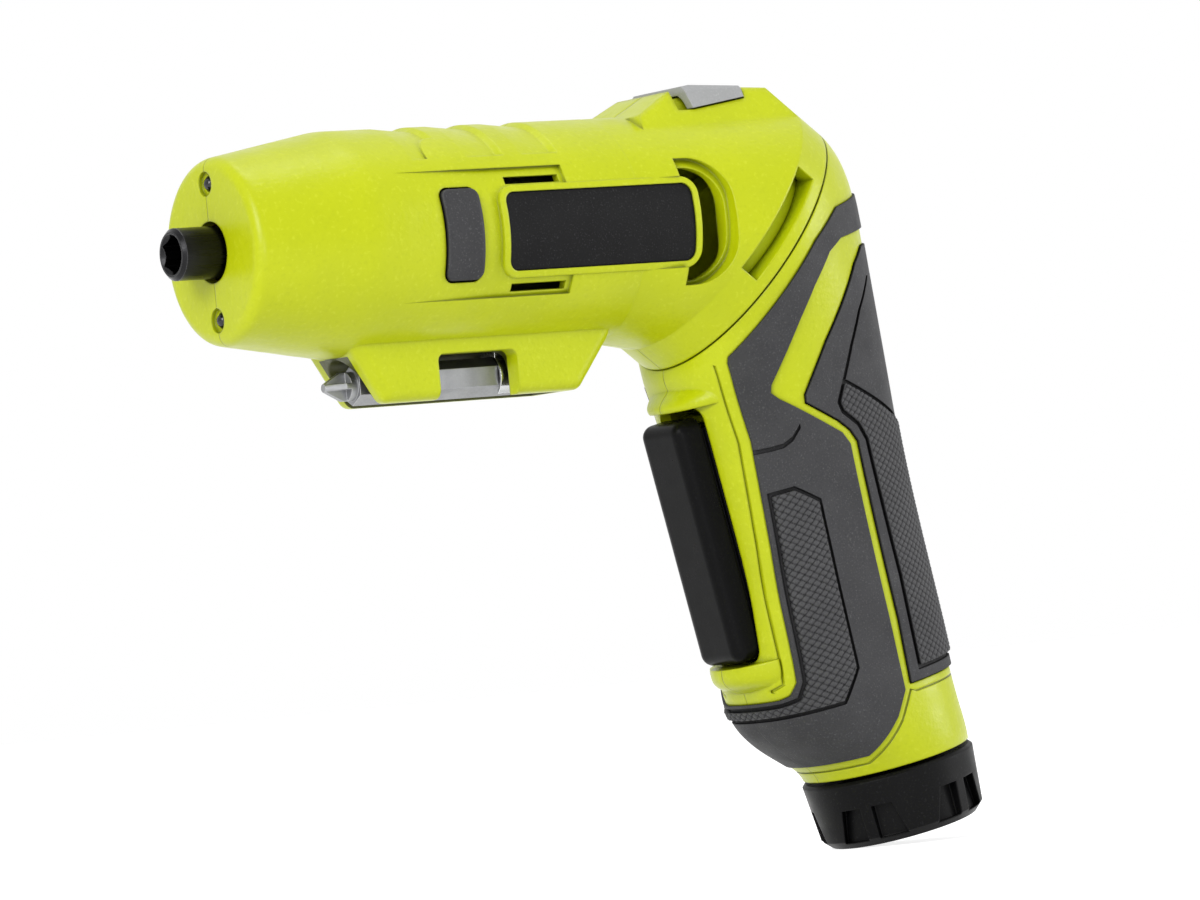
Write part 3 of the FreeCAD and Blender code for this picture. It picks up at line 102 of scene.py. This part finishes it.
class Surface:
    """A material's node tree with its main shader and object coordinates at hand."""

    def __init__(self):
        self.material = bpy.data.materials.new("finish")
        self.material.use_nodes = True
        self.tree = self.material.node_tree
        self.shader = self.tree.nodes["Principled BSDF"]
        self.place = self.node("ShaderNodeTexCoord").outputs["Object"]

    def node(self, kind, settings=None, **inputs):
        """A new node with its settings made and its inputs fed by name."""
        made = self.tree.nodes.new(kind)
        for key, value in (settings or {}).items():
            setattr(made, key, value)
        for key, value in inputs.items():
            self.feed(made.inputs[key.replace("_", " ")], value)
        return made

    def feed(self, socket, value):
        """Links a socket to another one or sets it to a plain value."""
        if isinstance(value, bpy.types.NodeSocket):
            self.tree.links.new(value, socket)
        else:
            socket.default_value = value

    def main(self, **inputs):
        """Feeds inputs of the main shader by name."""
        for key, value in inputs.items():
            self.feed(self.shader.inputs[key.replace("_", " ")], value)

    def axis(self, letter):
        """One object coordinate in metres."""
        return self.node("ShaderNodeSeparateXYZ", Vector=self.place).outputs[letter]

    def noise(self, size, detail=3.0, stretch=(1, 1, 1)):
        """Noise with features of about that size in millimetres."""
        place = self.node("ShaderNodeMapping", Vector=self.place, Scale=stretch).outputs["Vector"]
        made = self.node("ShaderNodeTexNoise", Vector=place, Scale=1 / (size * MM), Detail=detail)
        return made.outputs["Fac"]

    def patches(self, size, low, high, detail=3.0):
        """Soft patches of about that size in millimetres, as shares from low to high."""
        return self.ranged(self.noise(size, detail), PATCH_EDGE, 1 - PATCH_EDGE, low, high)

    def combined(self, operation, first, second=0.0):
        """The result of a math node."""
        made = self.node("ShaderNodeMath", {"operation": operation})
        self.feed(made.inputs[0], first)
        self.feed(made.inputs[1], second)
        return made.outputs["Value"]

    def times(self, first, second):
        """The product of two values."""
        return self.combined("MULTIPLY", first, second)

    def ranged(self, value, low, high, to_low, to_high):
        """A value's range from low to high, carried over to another range."""
        made = self.node("ShaderNodeMapRange", Value=value, From_Min=low, From_Max=high,
                         To_Min=to_low, To_Max=to_high)
        return made.outputs["Result"]

    def mixed(self, share, first, second):
        """The first colour, with that share of the second."""
        made = self.node("ShaderNodeMix", {"data_type": "RGBA"})
        self.feed(made.inputs["Factor"], share)
        self.feed(made.inputs[MIX_FIRST], first)
        self.feed(made.inputs[MIX_SECOND], second)
        return made.outputs[MIX_RESULT]

    def between(self, letter, low, high):
        """1 where that coordinate lies between two lengths in millimetres."""
        above = self.combined("GREATER_THAN", self.axis(letter), low * MM)
        below = self.combined("LESS_THAN", self.axis(letter), high * MM)
        return self.times(above, below)

    def soft_edge(self, radius):
        """The normal of edges rounded by that many metres."""
        made = self.node("ShaderNodeBevel", {"samples": EDGE_SAMPLES}, Radius=radius)
        return made.outputs["Normal"]

    def edge_share(self, rounded):
        """0 on faces, up to 1 on rounded edges."""
        flat = self.node("ShaderNodeNewGeometry").outputs["Normal"]
        made = self.node("ShaderNodeVectorMath", {"operation": "DOT_PRODUCT"})
        self.feed(made.inputs[0], rounded)
        self.feed(made.inputs[1], flat)
        return self.ranged(made.outputs["Value"], FACE_COSINE, ROUNDED_COSINE, 0.0, 1.0)

    def painted_hollow_shade(self, reach):
        """Painted shade share: 0 in the open, up to 1 deep in grooves and corners, felt over that
        many millimetres.
        """
        made = self.node("ShaderNodeAmbientOcclusion", {"samples": HOLLOW_SAMPLES},
                         Distance=reach * MM)
        return self.ranged(made.outputs["AO"], OPEN_SHARE, SHUT_SHARE, 0.0, 1.0)

    def bumped(self, height, depth, normal=None, strength=1.0):
        """The normal of a relief of that depth in millimetres."""
        made = self.node("ShaderNodeBump", Height=height, Distance=depth * MM, Strength=strength)
        if normal:
            self.feed(made.inputs["Normal"], normal)
        return made.outputs["Normal"]

    def speckled(self, face, deep, pale, fine):
        """A cloudy mix of two tones with fine dark and pale specks."""
        clouds = self.patches(CLOUD_SIZE, 0.0, 0.5)
        dark_specks = self.ranged(fine, 0.44, 0.3, 0.0, 0.5)
        pale_specks = self.ranged(fine, 0.58, 0.72, 0.0, 0.5)
        colour = self.mixed(clouds, face, deep)
        colour = self.mixed(dark_specks, colour, deep)
        return self.mixed(pale_specks, colour, pale)

    def worn_and_highlit_edges(self, colour, pale, rounded, wear_and_highlight):
        """The colour, gone pale in patches along the edges, for wear and, where the share is
        high, as a painted highlight.
        """
        patchy = self.times(self.edge_share(rounded), self.patches(PALE_EDGE_SIZE, 0.2, 1.0))
        return self.mixed(self.times(patchy, wear_and_highlight), colour, pale)

    def uneven(self, noise, low, high):
        """A roughness that follows the noise from low to high."""
        return self.ranged(noise, 0.3, 0.7, low, high)


# Finishes, with lengths in millimetres

# A near black that hollows are mixed towards as painted shade.
HOLLOW_SHADE_TONE = linear(6, 6, 7)
METAL_WEAR = 0.5

# Draws scratches out along X.
ALONG_X = (0.04, 1, 1)

# The rear hump of the casing begins over these lengths.
HUMP_X = (92, 100)
HUMP_Z = (15, 18)

# Edge radii of the casing, and half the width of its parting line.
CASE_EDGE = 0.6
HUMP_EDGE = 2.0
PARTING_HALF = 0.09

# How far the casing takes on the painted shade of its hollows and bit channel, and the tone of
# its parting line.
HOLLOW_SHADE_STRENGTH = 0.7
CHANNEL_SHADE_STRENGTH = 0.9
PARTING_STRENGTH = 0.55

# The spare bit's channel under the barrel.
CHANNEL_X = (30.5, 78.4)
CHANNEL_Y = (-5.15, 5.15)
CHANNEL_Z = (-31.0, -21.0)


def moulded(colours, roughness, gloss, grain, depth, edge, wear_and_highlight=0.25, shade_reach=0.0):
    """Moulded plastic or rubber: grain, mottled colour and pale edges, which show wear and, on
    the button, a painted highlight.

    The last argument is the reach in millimetres over which hollows darken as painted shade.
    """
    face, deep, pale = colours
    surface = Surface()
    rounded = surface.soft_edge(edge * MM)
    fine = surface.noise(grain, detail=4.0)
    colour = surface.speckled(face, deep, pale, fine)
    colour = surface.worn_and_highlit_edges(colour, pale, rounded, wear_and_highlight)
    # Painted shade: hollows darken towards a near black over the given reach.
    if shade_reach:
        colour = surface.mixed(surface.painted_hollow_shade(shade_reach), colour, HOLLOW_SHADE_TONE)
    sheen = surface.noise(SHEEN_SIZE)
    surface.main(Base_Color=colour, Specular_IOR_Level=gloss,
                 Roughness=surface.uneven(sheen, roughness - 0.06, roughness + 0.08),
                 Normal=surface.bumped(fine, depth, rounded))
    return surface.material


def bit_channel(surface):
    """1 inside the spare bit's channel."""
    section = surface.times(surface.between("Y", *CHANNEL_Y), surface.between("Z", *CHANNEL_Z))
    return surface.times(section, surface.between("X", *CHANNEL_X))


def hump_edge(surface):
    """The casing's edge radius in metres, wider on the rear hump."""
    rearward = surface.ranged(surface.axis("X"), HUMP_X[0] * MM, HUMP_X[1] * MM, 0.0, 1.0)
    upward = surface.ranged(surface.axis("Z"), HUMP_Z[0] * MM, HUMP_Z[1] * MM, 0.0, 1.0)
    hump = surface.times(rearward, upward)
    return surface.ranged(hump, 0.0, 1.0, CASE_EDGE * MM, HUMP_EDGE * MM)


def casing():
    """The lime casing: spark grain, worn edges, painted shade in its hollows and a parting line.

    The rear hump has wider rounding, and the spare bit's channel is painted near black as shade.
    """
    surface = Surface()
    rounded = surface.soft_edge(hump_edge(surface))
    fine = surface.noise(size=0.9)
    face, deep, pale = tones((202, 213, 10), (191, 203, 5), (214, 224, 50))
    hollow_shade_green, channel_shade_tone, parting_tone = tones((70, 80, 4), (16, 16, 12), (110, 120, 10))
    colour = surface.speckled(face, deep, pale, fine)
    colour = surface.worn_and_highlit_edges(colour, pale, rounded, wear_and_highlight=0.3)
    # Painted shade: the casing's hollows darken towards a dark green.
    hollow_shade = surface.times(surface.painted_hollow_shade(reach=2.0), HOLLOW_SHADE_STRENGTH)
    colour = surface.mixed(hollow_shade, colour, hollow_shade_green)
    # Painted shade: the spare bit's channel is darkened to near black.
    channel_shade = surface.times(bit_channel(surface), CHANNEL_SHADE_STRENGTH)
    colour = surface.mixed(channel_shade, colour, channel_shade_tone)
    off_middle = surface.combined("ABSOLUTE", surface.axis("Y"))
    parting = surface.combined("LESS_THAN", off_middle, PARTING_HALF * MM)
    colour = surface.mixed(surface.times(parting, PARTING_STRENGTH), colour, parting_tone)
    surface.main(Base_Color=colour, Specular_IOR_Level=0.34,
                 Roughness=surface.uneven(surface.noise(SHEEN_SIZE), low=0.28, high=0.4),
                 Normal=surface.bumped(fine, depth=0.06, normal=rounded))
    return surface.material


def woven_rubber():
    """Rubber of the embossed inlays, with painted shade in the hollows of the weave."""
    surface = Surface()
    fine = surface.noise(size=0.3, detail=4.0)
    face, deep, pale = tones((78, 78, 80), (58, 58, 60), (100, 100, 102))
    colour = surface.speckled(face, deep, pale, fine)
    relief = surface.node("ShaderNodeAttribute", {"attribute_name": "relief"}).outputs["Fac"]
    # Painted shade: the low parts of the weave are darkened towards a near black.
    raised = surface.ranged(relief, 0.1, 0.7, 0.0, 1.0)
    colour = surface.mixed(raised, linear(22, 22, 24), colour)
    colour = surface.mixed(surface.painted_hollow_shade(reach=1.5), colour, HOLLOW_SHADE_TONE)
    surface.main(Base_Color=colour, Specular_IOR_Level=0.3,
                 Roughness=surface.ranged(relief, 0.0, 1.0, 0.75, 0.58),
                 Normal=surface.bumped(fine, depth=0.012))
    return surface.material


def metal(colours, roughness, edge, stretch=(1, 1, 1)):
    """Metal with drawn scratches, stains and bright edges."""
    face, deep, worn = colours
    surface = Surface()
    rounded = surface.soft_edge(edge * MM)
    scratch = surface.noise(SCRATCH_SIZE, detail=4.0, stretch=stretch)
    colour = surface.mixed(surface.patches(STAIN_SIZE, 0.0, 0.6, detail=4.0), face, deep)
    bright = surface.times(surface.edge_share(rounded), METAL_WEAR)
    colour = surface.mixed(bright, colour, worn)
    surface.main(Base_Color=colour, Metallic=1.0,
                 Roughness=surface.uneven(scratch, roughness - 0.08, roughness + 0.1),
                 Normal=surface.bumped(scratch, depth=0.02, normal=rounded, strength=0.5))
    return surface.material


def lens():
    """The dark, partly clear plastic of the work lights."""
    surface = Surface()
    rounded = surface.soft_edge(radius=0.2 * MM)
    ripple = surface.noise(size=0.8, detail=2.0)
    surface.main(Base_Color=linear(26, 28, 32), Transmission_Weight=0.2, IOR=1.49,
                 Roughness=surface.uneven(surface.noise(size=1.0), low=0.04, high=0.12),
                 Normal=surface.bumped(ripple, depth=0.02, normal=rounded))
    return surface.material


# Materials by slot

FINISHES = {
    "green_casing": casing(),
    "weave_inlay": woven_rubber(),
    "clear_lens": lens(),
    "black_plate": moulded(
        tones((22, 22, 23), (8, 8, 9), (64, 64, 66)),
        roughness=0.5, gloss=0.12, grain=0.32, depth=0.01, edge=0.3),
    "grey_grip": moulded(
        tones((69, 69, 71), (52, 52, 54), (106, 106, 108)),
        roughness=0.62, gloss=0.2, grain=0.35, depth=0.03, edge=0.4, shade_reach=1.5),
    # The button's strong pale edges are a painted highlight along its bevel, beside their wear.
    "soft_button": moulded(
        tones((58, 58, 60), (42, 42, 44), (104, 104, 106)),
        roughness=0.5, gloss=0.25, grain=0.35, depth=0.015, edge=1.0, wear_and_highlight=0.5, shade_reach=1.0),
    "black_trigger": moulded(
        tones((9, 9, 10), (5, 5, 6), (28, 28, 30)),
        roughness=0.32, gloss=0.08, grain=0.4, depth=0.01, edge=0.5),
    "black_cap": moulded(
        tones((13, 13, 14), (7, 7, 8), (44, 44, 46)),
        roughness=0.4, gloss=0.1, grain=0.4, depth=0.015, edge=0.4, wear_and_highlight=0.3, shade_reach=1.5),
    "slider_grey": moulded(
        tones((172, 173, 174), (156, 157, 158), (200, 200, 200)),
        roughness=0.45, gloss=0.4, grain=0.4, depth=0.012, edge=0.4),
    "inner_black": moulded(
        tones((26, 26, 27), (16, 16, 17), (52, 52, 52)),
        roughness=0.55, gloss=0.3, grain=0.4, depth=0.01, edge=0.2),
    "circuit_board": moulded(
        tones((26, 78, 44), (18, 58, 34), (120, 140, 90)),
        roughness=0.45, gloss=0.4, grain=0.6, depth=0.01, edge=0.1),
    "carbon": moulded(
        tones((40, 40, 42), (26, 26, 28), (76, 76, 76)),
        roughness=0.7, gloss=0.3, grain=0.3, depth=0.01, edge=0.1),
    "steel": metal(
        tones((170, 170, 172), (140, 140, 143), (225, 225, 226)),
        roughness=0.32, edge=0.15),
    "zinc_steel": metal(
        tones((168, 170, 172), (140, 143, 146), (220, 221, 222)),
        roughness=0.38, edge=0.2, stretch=ALONG_X),
    "gear_metal": metal(
        tones((138, 136, 132), (110, 108, 104), (205, 203, 200)),
        roughness=0.4, edge=0.12),
    "bronze": metal(
        tones((176, 130, 80), (140, 100, 60), (220, 180, 130)),
        roughness=0.42, edge=0.15),
    "magnet": metal(
        tones((88, 88, 90), (66, 66, 68), (140, 140, 142)),
        roughness=0.5, edge=0.2),
    "copper": metal(
        tones((196, 112, 70), (160, 86, 52), (230, 160, 120)),
        roughness=0.34, edge=0.1),
    "clip_chrome": metal(
        tones((205, 206, 208), (176, 178, 180), (240, 240, 240)),
        roughness=0.2, edge=0.2, stretch=ALONG_X),
    "black_steel": metal(
        tones((44, 44, 45), (30, 30, 31), (160, 160, 162)),
        roughness=0.3, edge=0.25, stretch=ALONG_X),
    "bit_steel": metal(
        tones((156, 157, 159), (126, 127, 129), (200, 200, 201)),
        roughness=0.45, edge=0.2),
}
for slot_name, material in FINISHES.items():
    material.name = slot_name + "_finish"
slot_of = {part["node"]: part["material_slot"] for part in frame["record"]["subparts"]}
for node_name, slot_name in slot_of.items():
    nodes[node_name].data.materials.clear()
    nodes[node_name].data.materials.append(FINISHES[slot_name])


# Woven inlays

HANDLE_TOP = numpy.array((123.1 * MM, 0, -4.9 * MM))
HANDLE_LEAN = math.radians(11.5)
HANDLE_BACK = numpy.array((math.cos(HANDLE_LEAN), 0, math.sin(HANDLE_LEAN)))
HANDLE_DOWN = numpy.array((math.sin(HANDLE_LEAN), 0, -math.cos(HANDLE_LEAN)))
MEAN_RADIUS = 17 * MM
VOXEL = 0.19 * MM
STRAND = 1.05 * MM
RELIEF = 0.3 * MM

# Powers that shape a strand across and at its ends: the lower, the flatter its top.
CROWN_POWER = 0.7
END_POWER = 0.3

# The height of the weave, 0 to 1, that stays on the inlay's own surface.
LEVEL_HEIGHT = 0.65

# The weave fades out as a face turns away from the outside, by the cosine of its angle.
FADE_COSINE = 0.25
FADE_SPAN = 0.4


def plain_weave(first, second):
    """Height, 0 to 1, of strands that pass over one and under one."""
    column = numpy.floor(first)
    row = numpy.floor(second)
    runs_first = (column + row) % 2 == 0
    across = numpy.where(runs_first, second - row, first - column)
    along = numpy.where(runs_first, first - column, second - row)
    crown = numpy.sin(math.pi * across) ** CROWN_POWER
    ends = numpy.sin(math.pi * along) ** END_POWER
    return crown * ends


def divided(source, name):
    """A copy of a node's mesh in small even faces."""
    made = bpy.data.objects.new(name, source.data.copy())
    bpy.context.scene.collection.objects.link(made)
    remesh = made.modifiers.new("even", "REMESH")
    remesh.mode = "VOXEL"
    remesh.voxel_size = VOXEL
    shown = made.evaluated_get(bpy.context.evaluated_depsgraph_get())
    mesh = bpy.data.meshes.new_from_object(shown)
    made.modifiers.clear()
    made.data = mesh
    return made


def vertex_values(mesh, name):
    """A place or normal for each vertex of a mesh, in rows of three."""
    values = numpy.empty(len(mesh.vertices) * 3)
    mesh.vertices.foreach_get(name, values)
    return values.reshape(-1, 3)


def woven_inlay(node_name):
    """The inlay with the weave embossed on its outer side."""
    made = divided(nodes[node_name], node_name + "_woven")
    mesh = made.data
    points = vertex_values(mesh, "co")
    normals = vertex_values(mesh, "normal")
    from_top = points - HANDLE_TOP
    depth = from_top @ HANDLE_DOWN
    back = from_top @ HANDLE_BACK
    side = points[:, 1]
    outward = back[:, None] * HANDLE_BACK
    outward[:, 1] += side
    outward /= numpy.linalg.norm(outward, axis=1)[:, None]
    round_it = numpy.arctan2(side, back) * MEAN_RADIUS
    first = (depth + round_it) / STRAND / math.sqrt(2)
    second = (depth - round_it) / STRAND / math.sqrt(2)
    height = plain_weave(first, second)
    facing = (normals * outward).sum(axis=1)
    shown = numpy.clip((facing - FADE_COSINE) / FADE_SPAN, 0.0, 1.0)
    points += normals * ((height - LEVEL_HEIGHT) * shown * RELIEF)[:, None]
    mesh.vertices.foreach_set("co", points.ravel())
    relief = mesh.attributes.new("relief", "FLOAT", "POINT")
    relief.data.foreach_set("value", 1 - (1 - height) * shown)
    mesh.shade_smooth()
    mesh.materials.clear()
    mesh.materials.append(FINISHES["weave_inlay"])
    mesh.update()
    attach(made, "handle")
    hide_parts(node_name)


for inlay in ("side_inlay_left", "side_inlay_right", "palm_inlay_left", "palm_inlay_right"):
    woven_inlay(inlay)


# Stage, with lengths in metres

AMBIENT = 0.38
FLOOR_HALF = 6.0
FLOOR_GLOW = 0.78
WHITE = (1, 1, 1, 1)


def seen_rays(tree):
    """1 for rays that show a thing to the camera, straight or through gloss and glass."""
    ray = tree.nodes.new("ShaderNodeLightPath")
    total = ray.outputs["Is Camera Ray"]
    for kind in ("Is Glossy Ray", "Is Transmission Ray"):
        added = tree.nodes.new("ShaderNodeMath")
        added.use_clamp = True
        tree.links.new(total, added.inputs[0])
        tree.links.new(ray.outputs[kind], added.inputs[1])
        total = added.outputs["Value"]
    return total


def floor():
    """A white floor that stays white to the horizon and keeps the object's shadow."""
    signs = ((-1, -1), (1, -1), (1, 1), (-1, 1))
    corners = [(x * FLOOR_HALF, y * FLOOR_HALF, cad_low.z) for x, y in signs]
    mesh = bpy.data.meshes.new("floor")
    mesh.from_pydata(corners, [], [(0, 1, 2, 3)])
    made = bpy.data.objects.new("floor", mesh)
    bpy.context.scene.collection.objects.link(made)
    surface = Surface()
    glow = surface.times(seen_rays(surface.tree), FLOOR_GLOW)
    surface.main(Base_Color=linear(236, 236, 236), Roughness=0.95, Specular_IOR_Level=0.1,
                 Emission_Color=WHITE, Emission_Strength=glow)
    mesh.materials.append(surface.material)


def area_light(name, place, target, size, power):
    """A rectangular light that faces its target, with its power in watts."""
    data = bpy.data.lights.new(name, "AREA")
    data.shape = "RECTANGLE"
    data.size, data.size_y = size
    data.energy = power
    made = bpy.data.objects.new(name, data)
    made.location = place
    made.rotation_euler = (Vector(target) - Vector(place)).to_track_quat("-Z", "Y").to_euler()
    bpy.context.scene.collection.objects.link(made)


def white_world():
    """A world that is seen as white but lights the object only by the ambient share."""
    world = bpy.data.worlds.new("studio")
    world.use_nodes = True
    bpy.context.scene.world = world
    tree = world.node_tree
    shade = tree.nodes["Background"]
    strength = tree.nodes.new("ShaderNodeMapRange")
    tree.links.new(seen_rays(tree), strength.inputs["Value"])
    strength.inputs["To Min"].default_value = AMBIENT
    strength.inputs["To Max"].default_value = 1.0
    tree.links.new(strength.outputs["Result"], shade.inputs["Strength"])
    shade.inputs["Color"].default_value = WHITE


def camera():
    """Looks a little up from the left, tilted, as the photo was taken."""
    azimuth = math.radians(-30)
    elevation = math.radians(-3.5)
    roll = math.radians(5.4)
    distance = 1.3
    aim_right = 0.0604
    aim_down = 0.0274
    back = Vector((math.sin(azimuth) * math.cos(elevation),
                   -math.cos(azimuth) * math.cos(elevation),
                   math.sin(elevation)))
    level = Vector((math.cos(azimuth), math.sin(azimuth), 0))
    upright = back.cross(level)
    right = level * math.cos(roll) - upright * math.sin(roll)
    up = level * math.sin(roll) + upright * math.cos(roll)
    forward = (right * aim_right - up * aim_down - back).normalized()
    right = (right - forward * right.dot(forward)).normalized()
    up = right.cross(forward)
    data = bpy.data.cameras.new("camera")
    data.sensor_width = 36.0
    data.lens = 213.2
    data.clip_start = 0.05
    data.clip_end = 50.0
    made = bpy.data.objects.new("camera", data)
    turn = Matrix((right, up, -forward)).transposed().to_4x4()
    made.matrix_world = Matrix.Translation(back * distance) @ turn
    bpy.context.scene.collection.objects.link(made)
    bpy.context.scene.camera = made


floor()
white_world()
area_light("key", place=(-1.3, -0.75, 0.65), target=(0.08, 0, -0.02), size=(0.8, 0.8), power=14)
area_light("top", place=(0.2, 0.1, 1.5), target=(0.08, 0, -0.02), size=(1.0, 0.8), power=6)
area_light("side", place=(1.4, -0.8, 0.15), target=(0.12, 0, -0.05), size=(0.5, 1.0), power=11)
area_light("low", place=(-0.7, -1.4, 0.0), target=(0.13, 0, -0.08), size=(0.6, 0.2), power=2.2)
camera()
bpy.context.scene.view_settings.view_transform = "Standard"
